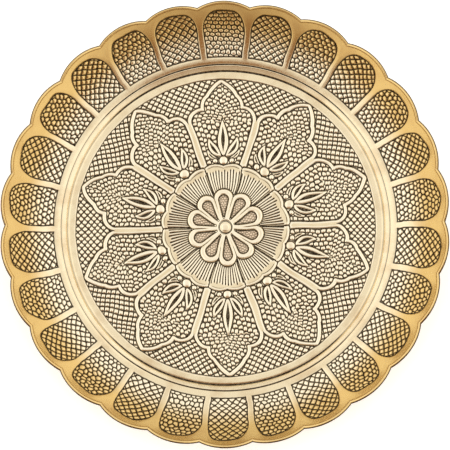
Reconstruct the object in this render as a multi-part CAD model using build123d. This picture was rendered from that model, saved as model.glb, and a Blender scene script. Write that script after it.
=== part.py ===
from build123d import *
import math
import os

# A round brass serving tray, pressed from one sheet: a flat embossed floor, a small step up, and a
# flange that curves up to an edge of 26 scallops, curled down over a wire.
# Millimetres, +Z up. The tray stands on z = 0 and its axis is Z.

# Driving dimensions
SHEET = 0.6  # thickness of the brass sheet
LOBES = 26  # scallops round the rim, and panels on the flange
TIP_RADIUS = 152.5  # tray axis to the outermost point of a scallop
VALLEY_RADIUS = 149.2  # tray axis to the bead's outside between two scallops
CURL_RADIUS = 1.1  # outside of the curled edge
CURL_BORE = 0.55  # inside of the curled edge
WIRE_RADIUS = 0.5  # wire held in the curled edge
BEAD_STAND = 0.25  # how far the bead stands above the flange's upper face
FLOOR_RADIUS = 107.8  # where the flat floor ends and the step begins
STEP_RADIUS = 111.2  # top of the step
STEP_HEIGHT = 2.6
INNER_SLOPE = 15.0  # flange slope just outside the step, degrees
OUTER_SLOPE = 46.0  # flange slope at the edge, degrees
CURVE_START = 117.0  # radius where the flange begins to curve up
STEP_FILLET = 1.2
PANEL_INNER = 117.6  # radius of the panels' inner edge
PANEL_OUTER = 147.0  # radius of the panels' rounded end
RIB_WIDTH = 4.0  # plain rib between two panels
PANEL_DEPTH = 0.3
PANEL_CORNER = 9.0
PANEL_CROWN = 4.5  # how much nearer the axis a panel's rounded end lies at its sides
PETALS = 10  # petals embossed on the floor
PETAL_TWIST = 1.2  # angle of the first rib between petals, degrees
PETAL_GAP = 0.2  # angle between a petal's side and the line between two petals, degrees
PETAL_ROOT = 43.0  # where a petal's side begins
PETAL_SHOULDER = 75.5  # where its side leaves the straight
PETAL_SHOULDER_TURN = 0.6  # angle that the side has lost by there, degrees
PETAL_BROW = (81.6, 14.4)  # points of its cusped end: radius, and angle from its axis in degrees
PETAL_OUTER_CUSP = (83.4, 9.3)
PETAL_CHEEK = (87.6, 8.4)
PETAL_INNER_CUSP = (91.6, 6.3)
PETAL_LANCE = (96.4, 3.8)
PETAL_APEX = (101.0, 0.0)
PETAL_SIDE_SHARE = 0.7  # sideways part of an inset at the outline's points, and the part at its apex
PETAL_APEX_SHARE = 1.8
PETAL_LINE = 1.6  # width of a petal's raised outline
PETAL_RELIEF = 0.5
DISC_RADIUS = 43.6  # fluted disc in the middle of the floor
DISC_WAVE = 0.9
DISC_RELIEF = 0.5
ROSETTE_TWIST = 21.6  # angle of the first rosette petal, degrees
ROSETTE_RELIEF = 1.0
ROSETTE_TIP = 27.0
ROSETTE_VALLEY = 22.6
TEARDROP_WIDE_AT = 19.2  # tray axis to the middle of a teardrop's round end
TEARDROP_ROUND = 3.6
TEARDROP_POINT_AT = 6.8
TEARDROP_POINT = 0.4
TEARDROP_DEPTH = 0.8
BOSS_RADIUS = 4.6
BOSS_RELIEF = 1.5
BEAD_RADIUS = 3.0  # round bead at the root of each petal
BEAD_RELIEF = 0.9
BEAD_PLACE = 46.6
SHEET_END_INSET = 0.3  # the sheet ends this far inside the line of the bead's centre
SECTION_OVERRUN = 25.0  # length of the sheet's section that is cut away beyond the flange's curve
WEDGE_INWARD = 18.0  # how far the tool that cuts out one scallop reaches from the tip, both ways
WEDGE_OUTWARD = 8.0
TOOL_HEIGHT = 60.0  # height of the upright tools, more than the tray's
PANEL_TOOL_LEAD = 2.0  # degrees by which the panel tool begins before the flange's curve
PANEL_TOOL_ROOM = 1.0  # how far the panel tool stands out of the sheet
CAP_SINK = 0.05  # how deep a bead's foot lies in the floor

SECTOR = 360.0 / LOBES
HALF_SECTOR = math.radians(SECTOR / 2)
PETAL_SECTOR = 360.0 / PETALS


def polar(radius, degrees):
    """A point of the plan, from its distance from the tray's axis and its direction."""
    turn = math.radians(degrees)
    return (radius * math.cos(turn), radius * math.sin(turn))


def spread(shape, count, first=0.0):
    """Copies of a shape, evenly spaced round the tray's axis."""
    return [Rot(0, 0, first + 360.0 * i / count) * shape for i in range(count)]


# The flange's curve: one arc, tangent to the inner slope, in the plane of radius and height.
band_rise = (CURVE_START - STEP_RADIUS) * math.tan(math.radians(INNER_SLOPE))
curve_foot = STEP_HEIGHT + band_rise
edge_run = TIP_RADIUS - CURL_RADIUS - CURVE_START
slope_gain = math.sin(math.radians(OUTER_SLOPE)) - math.sin(math.radians(INNER_SLOPE))
FLANGE_ARC = edge_run / slope_gain
ARC_AXIS_RADIUS = CURVE_START - FLANGE_ARC * math.sin(math.radians(INNER_SLOPE))
ARC_AXIS_HEIGHT = curve_foot + FLANGE_ARC * math.cos(math.radians(INNER_SLOPE))


def flange_height(radius, below=0.0):
    """Height of the flange's underside, or of a surface that lies below it, at a radius."""
    across = radius - ARC_AXIS_RADIUS
    return ARC_AXIS_HEIGHT - math.sqrt((FLANGE_ARC + below) ** 2 - across**2)


def sheet_profile(low, high):
    """Section of the tray between two distances above its underside, from the axis to the edge."""
    turn = math.radians((INNER_SLOPE + OUTER_SLOPE) / 2)
    swing = math.radians((OUTER_SLOPE - INNER_SLOPE) / 2)
    reach = FLANGE_ARC / math.cos(swing)
    knee = (
        ARC_AXIS_RADIUS + reach * math.sin(turn),
        ARC_AXIS_HEIGHT - reach * math.cos(turn),
    )
    steep = math.radians(OUTER_SLOPE)
    run = SECTION_OVERRUN
    end = (knee[0] + run * math.cos(steep), knee[1] + run * math.sin(steep))
    corners = [(0.0, 0.0), (FLOOR_RADIUS, 0.0), (STEP_RADIUS, STEP_HEIGHT), knee, end]
    lower = raised(corners, low)
    upper = raised(corners, high)
    under = FilletPolyline(
        *lower, radius=[STEP_FILLET - low, STEP_FILLET + low, FLANGE_ARC - low]
    )
    over = FilletPolyline(
        *upper, radius=[STEP_FILLET - high, STEP_FILLET + high, FLANGE_ARC - high]
    )
    ends = [Line(lower[0], upper[0]), Line(lower[-1], upper[-1])]
    return Plane.XZ * make_face([*under.edges(), *over.edges(), *ends])


def raised(points, distance):
    """The corners of a broken line moved sideways by a distance, to its upper side."""
    turns = [
        math.atan2(b[1] - a[1], b[0] - a[0]) for a, b in zip(points, points[1:])
    ]
    moved = []
    for i, (x, z) in enumerate(points):
        before = turns[max(i - 1, 0)]
        after = turns[min(i, len(turns) - 1)]
        middle = (before + after) / 2
        length = distance / math.cos((after - before) / 2)
        moved.append((x - length * math.sin(middle), z + length * math.cos(middle)))
    return moved


# The line of the bead's centre over one scallop: a circle in a tilted plane, through the two
# valleys and the tip, because the valleys lie lower on the flange than the tips do.
CURL_BELOW = CURL_RADIUS - SHEET - BEAD_STAND
tip_x = TIP_RADIUS - CURL_RADIUS
tip_z = flange_height(tip_x, CURL_BELOW)
valley_r = VALLEY_RADIUS - CURL_RADIUS
valley_x = valley_r * math.cos(HALF_SECTOR)
valley_y = valley_r * math.sin(HALF_SECTOR)
valley_z = flange_height(valley_r, CURL_BELOW)
sagitta = math.hypot(tip_x - valley_x, tip_z - valley_z)
scallop_radius = (valley_y**2 + sagitta**2) / (2 * sagitta)
outward = Vector(tip_x - valley_x, 0, tip_z - valley_z).normalized()
upward = Vector(-outward.Z, 0, outward.X)
scallop_centre = Vector(tip_x, 0, tip_z) - outward * scallop_radius
SCALLOP_PLANE = Plane(origin=scallop_centre, x_dir=outward, z_dir=upward)


def rim_ring(section_radius):
    """A round bar that follows the whole scalloped edge, mitred in the valleys."""
    near = TIP_RADIUS - WEDGE_INWARD
    far = TIP_RADIUS + WEDGE_OUTWARD
    spread_at = math.tan(HALF_SECTOR)
    wedge_plan = Polygon(
        (near, -near * spread_at),
        (far, -far * spread_at),
        (far, far * spread_at),
        (near, near * spread_at),
        align=None,
    )
    wedge = extrude(wedge_plan, TOOL_HEIGHT)
    one = (SCALLOP_PLANE * Torus(scallop_radius, section_radius)) & wedge
    copies = spread(one, LOBES, SECTOR / 2)
    return copies[0].fuse(*copies[1:])


def scalloped_plan(inset):
    """The tray's plan, inside the line of the bead's centre by a distance."""
    sag = tip_x - valley_x
    arc = (valley_y**2 + sag**2) / (2 * sag)
    centre_x = tip_x - arc
    radius = arc - inset
    # where the smaller arc meets the radial line of the valley
    half = math.cos(HALF_SECTOR) * centre_x
    reach = half + math.sqrt(half**2 - centre_x**2 + radius**2)
    side_x = reach * math.cos(HALF_SECTOR)
    side_y = reach * math.sin(HALF_SECTOR)
    one = ThreePointArc((side_x, -side_y), (centre_x + radius, 0), (side_x, side_y))
    return make_face(spread(one, LOBES, SECTOR / 2))


def flange_band(low, high):
    """A ring that follows the flange between two distances above its underside."""
    first = math.radians(INNER_SLOPE - PANEL_TOOL_LEAD)
    last = math.radians(OUTER_SLOPE)
    corners = [
        (ARC_AXIS_RADIUS + r * math.sin(turn), ARC_AXIS_HEIGHT - r * math.cos(turn))
        for r in (FLANGE_ARC - low, FLANGE_ARC - high)
        for turn in (first, last)
    ]
    axis = (ARC_AXIS_RADIUS, ARC_AXIS_HEIGHT)
    start = INNER_SLOPE - PANEL_TOOL_LEAD - 90.0
    size = OUTER_SLOPE - INNER_SLOPE + PANEL_TOOL_LEAD
    section = make_face(
        [
            CenterArc(axis, FLANGE_ARC - low, start, size),
            CenterArc(axis, FLANGE_ARC - high, start, size),
            Line(corners[0], corners[2]),
            Line(corners[1], corners[3]),
        ]
    )
    return revolve(Plane.XZ * section, Axis.Z, 360)


def panel_plan():
    """Plan of one flange panel, on +X: straight sides beside the ribs and a rounded end."""
    half_rib = RIB_WIDTH / 2 / math.cos(HALF_SECTOR)
    slope = math.tan(HALF_SECTOR)
    shoulder = PANEL_OUTER - PANEL_CROWN
    inner_y = PANEL_INNER * slope - half_rib
    shoulder_y = shoulder * slope - half_rib
    outline = [
        Line((PANEL_INNER, -inner_y), (shoulder, -shoulder_y)),
        ThreePointArc((shoulder, -shoulder_y), (PANEL_OUTER, 0), (shoulder, shoulder_y)),
        Line((shoulder, shoulder_y), (PANEL_INNER, inner_y)),
        Line((PANEL_INNER, inner_y), (PANEL_INNER, -inner_y)),
    ]
    face = make_face(outline)
    corners = face.vertices().sort_by(Axis.X)[-2:]
    return fillet(corners, PANEL_CORNER)


def petal_plan(inset):
    """Plan of one floor petal, on +X: a long shaft with shoulders, cusps and a pointed end."""
    half = PETAL_SECTOR / 2 - PETAL_GAP

    def place(radius, degrees):
        """A point of the outline, moved inwards by the inset."""
        side = PETAL_SIDE_SHARE * inset
        if degrees == 0.0:
            return (radius - PETAL_APEX_SHARE * inset, 0.0)
        return polar(radius - side, degrees - math.degrees(side / radius))

    root = place(PETAL_ROOT, half)
    shoulder = place(PETAL_SHOULDER, half - PETAL_SHOULDER_TURN)
    outer_cusp = place(*PETAL_OUTER_CUSP)
    inner_cusp = place(*PETAL_INNER_CUSP)
    apex = place(*PETAL_APEX)
    side = [
        Line(root, shoulder),
        ThreePointArc(shoulder, place(*PETAL_BROW), outer_cusp),
        ThreePointArc(outer_cusp, place(*PETAL_CHEEK), inner_cusp),
        ThreePointArc(inner_cusp, place(*PETAL_LANCE), apex),
    ]
    other = [mirror(edge, about=Plane.XZ) for edge in side]
    return make_face([*side, *other, Line(root, (root[0], -root[1]))])


def scallop_disc(tips, valleys, count, first):
    """A flat plan with round scallops: its tips and valleys lie at two radii."""
    half = 180.0 / count
    arc = ThreePointArc(polar(valleys, -half), (tips, 0), polar(valleys, half))
    return make_face(spread(arc, count, first))


def cap(radius, relief, base):
    """A round cap, standing on a height, with its middle on the tray's axis."""
    ball = (radius**2 + relief**2) / (2 * relief)
    whole = Pos(0, 0, base + relief - ball) * Sphere(ball)
    keep = Pos(0, 0, base + relief) * Cylinder(radius * 2, relief * 2)
    return whole & keep


def floor_relief():
    """The raised work on the floor: petal outlines, fluted disc, rosette, boss and beads."""
    foot = SHEET / 2  # every raised piece is rooted this deep in the sheet
    on_floor = Pos(0, 0, foot)
    outline = petal_plan(0.0) - petal_plan(PETAL_LINE)
    band = on_floor * extrude(outline, foot + PETAL_RELIEF)
    pieces = spread(band, PETALS, PETAL_TWIST + PETAL_SECTOR / 2)
    waves = 2 * PETALS
    half_wave = 180.0 / waves
    disc_plan = scallop_disc(DISC_RADIUS + DISC_WAVE, DISC_RADIUS, waves, PETAL_TWIST + half_wave)
    pieces.append(on_floor * extrude(disc_plan, foot + DISC_RELIEF))
    rosette_plan = scallop_disc(ROSETTE_TIP, ROSETTE_VALLEY, PETALS, ROSETTE_TWIST)
    rosette = on_floor * extrude(rosette_plan, foot + ROSETTE_RELIEF)
    round_end = Pos(TEARDROP_WIDE_AT, 0) * Circle(TEARDROP_ROUND)
    point_end = Pos(TEARDROP_POINT_AT, 0) * Circle(TEARDROP_POINT)
    teardrop = make_hull([*round_end.edges(), *point_end.edges()])
    pit_floor = SHEET + ROSETTE_RELIEF - TEARDROP_DEPTH
    pit = Pos(0, 0, pit_floor) * extrude(teardrop, 2 * TEARDROP_DEPTH)
    bead = Pos(BEAD_PLACE, 0, 0) * cap(BEAD_RADIUS, BEAD_RELIEF, SHEET - CAP_SINK)
    pieces.append(rosette)
    pieces.append(cap(BOSS_RADIUS, BOSS_RELIEF, SHEET + DISC_RELIEF))
    pieces.extend(spread(bead, PETALS, PETAL_TWIST + PETAL_SECTOR / 2))
    return pieces, spread(pit, PETALS, ROSETTE_TWIST)


def tray_body():
    """The pressed sheet: floor, step, panelled flange and curled edge."""
    blank = revolve(sheet_profile(0.0, SHEET), Axis.Z, 360)
    trimmed = blank & extrude(scalloped_plan(SHEET_END_INSET), TOOL_HEIGHT)
    ring = flange_band(SHEET - PANEL_DEPTH, SHEET + PANEL_TOOL_ROOM)
    panel = extrude(panel_plan(), TOOL_HEIGHT) & ring
    raised_work, pits = floor_relief()
    body = trimmed - spread(panel, LOBES, SECTOR / 2)
    body = body.fuse(*raised_work)
    body = body - pits
    body = body.fuse(rim_ring(CURL_RADIUS))
    return body - rim_ring(CURL_BORE)


os.makedirs("parts", exist_ok=True)
export_step(tray_body(), "parts/tray_body.step")
export_step(rim_ring(WIRE_RADIUS), "parts/rim_wire.step")
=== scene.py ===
"""The looks of a round brass serving tray, pressed and chased by hand, with a scalloped, wired rim.

Every length inside the classes is in millimetres, and becomes metres where a mesh is made. The tray's axis
is Z, it stands on Z = 0, and angles are counted from +X, where the first valley between two scallops lies.
"""

import logging
import math
from dataclasses import dataclass, field
from enum import Enum
from typing import Callable

import bpy
import numpy as np
from mathutils import Matrix, Vector


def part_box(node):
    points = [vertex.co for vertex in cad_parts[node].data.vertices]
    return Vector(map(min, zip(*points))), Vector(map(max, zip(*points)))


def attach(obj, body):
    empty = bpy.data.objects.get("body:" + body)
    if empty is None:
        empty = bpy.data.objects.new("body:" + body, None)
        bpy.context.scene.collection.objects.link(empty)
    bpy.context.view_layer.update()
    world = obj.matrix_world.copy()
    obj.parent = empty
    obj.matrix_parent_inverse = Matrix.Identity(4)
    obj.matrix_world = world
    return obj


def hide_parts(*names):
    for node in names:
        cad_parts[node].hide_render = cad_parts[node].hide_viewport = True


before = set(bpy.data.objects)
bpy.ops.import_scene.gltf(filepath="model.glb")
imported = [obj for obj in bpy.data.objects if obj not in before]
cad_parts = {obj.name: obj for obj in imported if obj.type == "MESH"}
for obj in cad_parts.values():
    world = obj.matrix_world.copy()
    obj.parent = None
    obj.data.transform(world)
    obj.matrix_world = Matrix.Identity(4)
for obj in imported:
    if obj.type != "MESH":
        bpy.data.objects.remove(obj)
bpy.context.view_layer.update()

LOG = logging.getLogger("tray")
MM = 0.001
TAU = 2.0 * math.pi


# ---------------------------------------------------------------- small tools


def smooth(low: float, high: float, value: np.ndarray) -> np.ndarray:
    """A soft step from 0 at low to 1 at high."""
    t = np.clip((value - low) / (high - low), 0.0, 1.0)
    return t * t * (3.0 - 2.0 * t)


def hump(offset: np.ndarray, half_width: float) -> np.ndarray:
    """A round ridge across a line: 1 on the line, 0 from half a width away."""
    t = np.clip(np.abs(offset) / half_width, 0.0, 1.0)
    return 0.5 + 0.5 * np.cos(math.pi * t)


def polar(radius: float, degrees: float) -> tuple[float, float]:
    """A point of the plan, as (across, along), from its radius and its angle off the +along axis."""
    turn = math.radians(degrees)
    return (radius * math.sin(turn), radius * math.cos(turn))


def arc_points(start: tuple[float, float], through: tuple[float, float], end: tuple[float, float],
               count: int = 9) -> list[tuple[float, float]]:
    """Points on the circle through three points of the plan.

    Args:
        start: first point of the arc.
        through: a point that the arc passes.
        end: last point of the arc.
        count: how many points to return, both ends included.

    Returns:
        The points, in order.
    """
    (ax, ay), (bx, by), (cx, cy) = start, through, end
    d = 2.0 * (ax * (by - cy) + bx * (cy - ay) + cx * (ay - by))
    a2, b2, c2 = ax * ax + ay * ay, bx * bx + by * by, cx * cx + cy * cy
    ox = (a2 * (by - cy) + b2 * (cy - ay) + c2 * (ay - by)) / d
    oy = (a2 * (cx - bx) + b2 * (ax - cx) + c2 * (bx - ax)) / d
    radius = math.hypot(ax - ox, ay - oy)
    first = math.atan2(ay - oy, ax - ox)
    middle = (math.atan2(by - oy, bx - ox) - first) % TAU
    last = (math.atan2(cy - oy, cx - ox) - first) % TAU
    if middle > last:
        last -= TAU
    turns = [first + last * i / (count - 1) for i in range(count)]
    return [(ox + radius * math.cos(t), oy + radius * math.sin(t)) for t in turns]


def near_line(u: np.ndarray, v: np.ndarray,
              points: list[tuple[float, float]]) -> tuple[np.ndarray, np.ndarray]:
    """Distance from many points of the plan to a broken line.

    Args:
        u: across, in mm.
        v: along, in mm.
        points: the corners of the line.

    Returns:
        The distance, and how far along the line the nearest place is, from 0 to 1.
    """
    best = np.full(u.shape, 1e9)
    where = np.zeros(u.shape)
    lengths = [math.dist(a, b) for a, b in zip(points, points[1:])]
    total = sum(lengths)
    done = 0.0
    for (ax, ay), (bx, by), length in zip(points, points[1:], lengths):
        dx, dy = bx - ax, by - ay
        t = np.clip(((u - ax) * dx + (v - ay) * dy) / (length * length), 0.0, 1.0)
        gap = np.hypot(u - ax - t * dx, v - ay - t * dy)
        closer = gap < best
        best = np.where(closer, gap, best)
        where = np.where(closer, (done + t * length) / total, where)
        done += length
    return best, where


@dataclass(frozen=True)
class Wander:
    """A slow, smooth unevenness over the plan, as a hand leaves it."""

    length: float
    seed: int
    waves: int = 7

    def at(self, x: np.ndarray, y: np.ndarray) -> np.ndarray:
        """Its value at points of the plan.

        Args:
            x: towards +X, in mm.
            y: towards +Y, in mm.

        Returns:
            The unevenness, mostly between -1 and 1.
        """
        rng = np.random.default_rng(self.seed)
        total = np.zeros(np.shape(x))
        for _ in range(self.waves):
            heading, phase = rng.uniform(0.0, TAU, 2)
            pace = TAU / self.length * rng.uniform(0.5, 1.6)
            total += np.sin((x * math.cos(heading) + y * math.sin(heading)) * pace + phase)
        return total / math.sqrt(self.waves)


# ---------------------------------------------------------------- the chaser's patterns


@dataclass(frozen=True)
class Lattice:
    """Crossed lines cut with a chisel, which leave rows of small raised diamonds."""

    wide: float = 5.0
    tall: float = 4.5
    groove: float = 1.45
    groove_floor: float = 0.15
    finer: float = 1.12
    depth: float = 0.5
    dome: float = 0.4
    fullness: float = 1.25
    crossing: float = 0.16
    crossing_reach: float = 1.25
    pit: float = 0.1
    pit_radius: float = 0.7

    def height(self, u: np.ndarray, v: np.ndarray) -> np.ndarray:
        """Height of the pattern at points of a flat plan. One set of lines is finer than the other.

        Args:
            u: across, in mm.
            v: along, in mm.

        Returns:
            The height in mm: about 0 on a diamond, -depth in a line, and lower where two lines cross.
        """
        p = u / self.wide + v / self.tall
        q = u / self.wide - v / self.tall
        spacing = 1.0 / math.hypot(1.0 / self.wide, 1.0 / self.tall)
        across_p = np.abs(p - np.round(p)) * spacing
        across_q = np.abs(q - np.round(q)) * spacing
        edge = np.minimum(across_p, across_q * self.finer)
        centre = np.hypot(spacing / 2 - across_p, spacing / 2 - across_q)
        wall = smooth(self.groove_floor, self.groove * 0.62, edge)
        crown = wall + self.dome * smooth(self.groove * 0.4, spacing / 2, edge)
        crossed = 1.0 - smooth(0.3, self.crossing_reach, np.hypot(across_p, across_q))
        pit = self.pit * (1.0 - smooth(0.0, self.pit_radius, centre))
        return self.depth * (crown / self.fullness - 1.0) - self.crossing * crossed - pit


@dataclass(frozen=True)
class Pebbles:
    """Rows of small scales, each raised with its own punch mark, so that no two are alike."""

    wide: float = 3.6
    tall: float = 2.9
    gap: float = 1.15
    depth: float = 0.5
    unevenness: float = 0.22
    lean: float = 0.25
    flat_part: float = 0.65
    dome_part: float = 0.45
    dome_reach: float = 0.6
    lift_part: float = 0.3
    seed: int = 3

    def height(self, u: np.ndarray, v: np.ndarray) -> np.ndarray:
        """Height of the pattern at points of a flat plan, with every other row staggered by half a scale.

        Args:
            u: along a row of scales, in mm.
            v: across the rows, in mm.

        Returns:
            The height in mm, from -depth between scales to about 0.
        """
        size = 61
        far = 9.0
        shifts = np.random.default_rng(self.seed).uniform(-self.unevenness, self.unevenness, (size, size, 3))
        row = np.floor(v / self.tall).astype(int)
        first = np.full(u.shape, far)
        second = np.full(u.shape, far)
        lift = np.zeros(u.shape)
        lean = np.zeros(u.shape)
        for dj in (-1, 0, 1):
            j = row + dj
            stagger = 0.5 * (j % 2)
            column = np.floor(u / self.wide - stagger).astype(int)
            for di in (-1, 0, 1):
                i = column + di
                own = shifts[i % size, j % size]
                du = u / self.wide - (i + stagger + 0.5 + own[..., 0])
                dv = v / self.tall - (j + 0.5 + own[..., 1])
                gap = np.hypot(du, dv)
                closer = gap < first
                second = np.where(closer, first, np.minimum(second, gap))
                first = np.where(closer, gap, first)
                lift = np.where(closer, own[..., 2], lift)
                lean = np.where(closer, dv, lean)
        edge = (second - first) * (self.wide + self.tall) / 4.0
        crown = smooth(0.05, self.gap * 0.75, edge)
        dome = 1.0 - np.clip(first / self.dome_reach, 0.0, 1.0) ** 2
        shape = self.flat_part * crown + self.dome_part * dome * crown
        return self.depth * (shape - 1.0 + crown * (self.lift_part * lift - self.lean * lean))


@dataclass
class Mark:
    """What the tools left at each point: the height of the relief, and how coppery its floor has gone."""

    height: np.ndarray
    copper: np.ndarray


# ---------------------------------------------------------------- the pressed shape


@dataclass
class Section:
    """The tray's section: floor, step, plain band and a flange that curves up to the edge."""

    tip_radius: float
    sheet: float = 0.6
    floor_radius: float = 107.8
    step_radius: float = 111.2
    step_height: float = 2.6
    inner_slope: float = 15.0
    outer_slope: float = 46.0
    curve_start: float = 117.0
    step_fillet: float = 1.2
    curl_radius: float = 1.1
    bead_stand: float = 0.25
    radius: np.ndarray = field(init=False)
    under: np.ndarray = field(init=False)
    slope: np.ndarray = field(init=False)
    length: np.ndarray = field(init=False)

    def __post_init__(self) -> None:
        """Traces the underside of the sheet by walking along it."""
        step = math.atan2(self.step_height, self.step_radius - self.floor_radius)
        inner, outer = math.radians(self.inner_slope), math.radians(self.outer_slope)
        rise = self.step_fillet * math.tan(step / 2)
        fall = self.step_fillet * math.tan((step - inner) / 2)
        wall = math.hypot(self.step_height, self.step_radius - self.floor_radius)
        run = self.tip_radius - self.curl_radius - self.curve_start
        flange = run / (math.sin(outer) - math.sin(inner))
        band = (self.curve_start - self.step_radius) / math.cos(inner)
        legs = [
            (self.floor_radius - rise, 0.0),
            (self.step_fillet * step, step),
            (wall - rise - fall, step),
            (self.step_fillet * (step - inner), inner),
            (band - fall, inner),
            (flange * (outer - inner), outer),
            (12.0, outer),
        ]
        marks = [0.0]
        turns = [0.0]
        for leg, turn in legs:
            marks.append(marks[-1] + leg)
            turns.append(turn)
        self.length = np.linspace(0.0, marks[-1], 6001)
        self.slope = np.interp(self.length, marks, turns)
        middle = (self.slope[1:] + self.slope[:-1]) / 2
        pace = np.diff(self.length)
        self.radius = np.concatenate([[0.0], np.cumsum(pace * np.cos(middle))])
        self.under = np.concatenate([[0.0], np.cumsum(pace * np.sin(middle))])

    def surface(self, radius: np.ndarray, lift: float) -> tuple[np.ndarray, np.ndarray]:
        """A surface that runs beside the underside.

        Args:
            radius: where to read it, in mm from the axis.
            lift: its distance above the underside; less than 0 lies below.

        Returns:
            Its height and its slope in radians at each radius.
        """
        at = self.radius - lift * np.sin(self.slope)
        up = self.under + lift * np.cos(self.slope)
        return np.interp(radius, at, up), np.interp(radius, at, self.slope)

    def along(self, radius: np.ndarray) -> np.ndarray:
        """Length of the section from the axis out to each radius."""
        return np.interp(radius, self.radius, self.length)


@dataclass
class ScallopedRim:
    """The edge in plan and height: scallops whose beads meet in a mitre in each valley."""

    section: Section
    scallops: int = 26
    valley_radius: float = 149.2
    turn: np.ndarray = field(init=False)
    reach: np.ndarray = field(init=False)
    level: np.ndarray = field(init=False)

    def __post_init__(self) -> None:
        """Works out the line of the bead's centre over one scallop: a circle in a tilted plane."""
        curl = self.section.curl_radius
        below = self.section.bead_stand + self.section.sheet - curl
        half = self.half_sector
        tip = self.section.tip_radius - curl
        valley = self.valley_radius - curl
        tip_z = float(self.section.surface(np.array([tip]), below)[0][0])
        valley_z = float(self.section.surface(np.array([valley]), below)[0][0])
        run, rise = tip - valley * math.cos(half), tip_z - valley_z
        sag = math.hypot(run, rise)
        chord = valley * math.sin(half)
        radius = (chord**2 + sag**2) / (2 * sag)
        swing = np.linspace(-math.asin(chord / radius), math.asin(chord / radius), 201)
        back = radius * (1.0 - np.cos(swing))
        x = tip - back * run / sag
        y = radius * np.sin(swing)
        self.turn = np.arctan2(y, x)
        self.reach = np.hypot(x, y)
        self.level = tip_z - back * rise / sag

    @property
    def half_sector(self) -> float:
        """Half the angle of one scallop, in radians."""
        return math.pi / self.scallops

    def local(self, theta: np.ndarray) -> np.ndarray:
        """Angle from the middle of the nearest scallop, in radians."""
        pitch = 2 * self.half_sector
        return (theta % pitch) - self.half_sector

    def bead(self, theta: np.ndarray) -> tuple[np.ndarray, np.ndarray, np.ndarray]:
        """The bead's centre in each radial plane.

        Args:
            theta: angles round the tray.

        Returns:
            Radius, height, and how much wider the bead is cut by that plane than by a square one.
        """
        local = np.clip(self.local(theta), self.turn[0], self.turn[-1])
        radius = np.interp(local, self.turn, self.reach)
        lean = np.interp(local, self.turn, np.gradient(self.reach, self.turn)) / radius
        return radius, np.interp(local, self.turn, self.level), np.hypot(1.0, lean)


# ---------------------------------------------------------------- the flange


class PanelStyle(Enum):
    """What fills a panel of the flange."""

    PEBBLED = 0
    LATTICED = 1


@dataclass
class FlangePanels:
    """One sunk panel under each scallop, filled by turns with scales and with crossed lines."""

    section: Section
    rim: ScallopedRim
    inner: float = 116.3
    outer: float = 147.0
    rib: float = 3.4
    drift: float = 1.2
    drift_at: float = 238.0
    drift_reach: float = 80.0
    crown_radius: float = 30.0
    corner: float = 8.8
    line: float = 0.85
    line_depth: float = 0.5
    filling_drop: float = 0.04
    rib_round: float = 2.6
    rib_drop: float = 0.10
    shift: float = 2.0
    skew: float = 0.06
    stride: float = 17.0
    seed: int = 11
    lattice: Lattice = Lattice()
    pebbles: Pebbles = Pebbles()

    def style(self, index: int) -> PanelStyle:
        """The filling of the panel under a scallop, counted from +X."""
        return PanelStyle(index % 2)

    def inside(self, radius: np.ndarray, local: np.ndarray) -> np.ndarray:
        """How far inside a panel points are.

        Args:
            radius: distance from the tray's axis, in mm.
            local: angle from the middle of the scallop, in radians.

        Returns:
            The distance in from the panel's nearest edge, in mm; less than 0 is on the plain metal.
        """
        across = radius * np.sin(np.abs(local))
        along = radius * np.cos(local)
        side = radius * np.sin(self.rim.half_sector - np.abs(local)) - self.rib / 2
        crown = self.crown_radius - np.hypot(along - self.outer + self.crown_radius, across)
        lack_side = np.maximum(self.corner - side, 0.0)
        lack_crown = np.maximum(self.corner - crown, 0.0)
        rounded = self.corner - np.hypot(lack_side, lack_crown)
        plain = np.minimum(side, crown)
        arch = np.where((side < self.corner) & (crown < self.corner), rounded, plain)
        return np.minimum(arch, radius - self.inner)

    def ribs_drift(self, theta: np.ndarray) -> np.ndarray:
        """How far the ribs between panels were set to one side of the valleys, in radians."""
        away = (theta - math.radians(self.drift_at) + math.pi) % TAU - math.pi
        return math.radians(self.drift) * hump(away, math.radians(self.drift_reach))

    def mark(self, radius: np.ndarray, theta: np.ndarray) -> Mark:
        """The relief of the flange.

        Args:
            radius: distance from the tray's axis, in mm.
            theta: angle from +X, in radians.

        Returns:
            The panels with their filling and outline, and the ribs and margin between them.
        """
        theta = theta - self.ribs_drift(theta) * smooth(self.outer + 1.0, self.outer - 12.0, radius)
        local = self.rim.local(theta)
        index = np.floor(theta / (2 * self.rim.half_sector)).astype(int) % self.rim.scallops
        depth_in = self.inside(radius, local)
        across = radius * np.sin(local)
        along = self.section.along(radius) - self.section.along(np.array([self.inner]))[0]
        field_height = np.zeros(radius.shape)
        hand = np.random.default_rng(self.seed)
        for k in range(self.rim.scallops):
            shift_u, shift_v = hand.uniform(-self.shift, self.shift, 2)
            turn = hand.uniform(-self.skew, self.skew)
            here = (index == k) & (depth_in > 0.0)
            u = across[here] + turn * along[here]
            v = along[here] - turn * across[here]
            wobble = 0.22 * np.sin(u * 0.9 + k) + 0.2 * np.sin(v * 0.7 + 2 * k)
            if self.style(k) is PanelStyle.LATTICED:
                filled = self.lattice.height(u + wobble, v + shift_v)
            else:
                filled = self.pebbles.height(u + shift_u + self.stride * k, v + wobble)
            field_height[here] = filled
        enter = smooth(self.line * 0.9, self.line * 1.9, depth_in)
        wall = smooth(-0.15, self.line * 0.55, depth_in)
        height = -self.line_depth * wall * (1.0 - enter) + enter * (field_height - self.filling_drop)
        rib_fall = 1.0 - smooth(0.0, self.rib_round, -depth_in)
        height = height - self.rib_drop * rib_fall * (depth_in <= 0.0)
        return Mark(height, np.zeros(radius.shape))


# ---------------------------------------------------------------- the floor


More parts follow.
